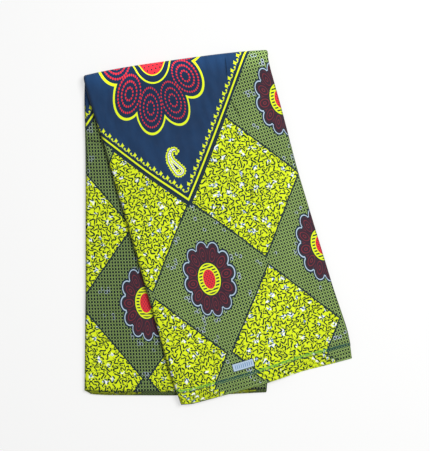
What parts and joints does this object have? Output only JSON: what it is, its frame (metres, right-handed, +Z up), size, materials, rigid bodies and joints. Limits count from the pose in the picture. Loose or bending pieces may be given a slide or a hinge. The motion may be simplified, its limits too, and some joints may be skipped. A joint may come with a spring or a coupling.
{
  "type": "folded ankara fabric",
  "caption": "A whole length of ankara wax-print cotton, folded into a flat band and folded over once at the top, so that its front half fans out over its back half.",
  "frame": {"origin": "on the table, under the middle of the folded pack's outline", "axes": "+Z up, out of the table; +Y towards the top fold; +X to the right of the pack, as one who stands at its selvedges sees it"},
  "size_m": [0.4809, 0.6368, 0.018],
  "materials": {
    "outer_leaf_cotton": "printed plain-weave cotton, matt, yellow and green",
    "hidden_leaves_cotton": "printed plain-weave cotton, matt, dark blue-green at the edges",
    "inner_leaf_cotton": "printed plain-weave cotton, matt, green and yellow"
  },
  "bodies": {
    "root": {"outer_leaf": "outer_leaf_cotton", "hidden_leaves": "hidden_leaves_cotton", "inner_leaf": "inner_leaf_cotton"}
  },
  "joints": []
}
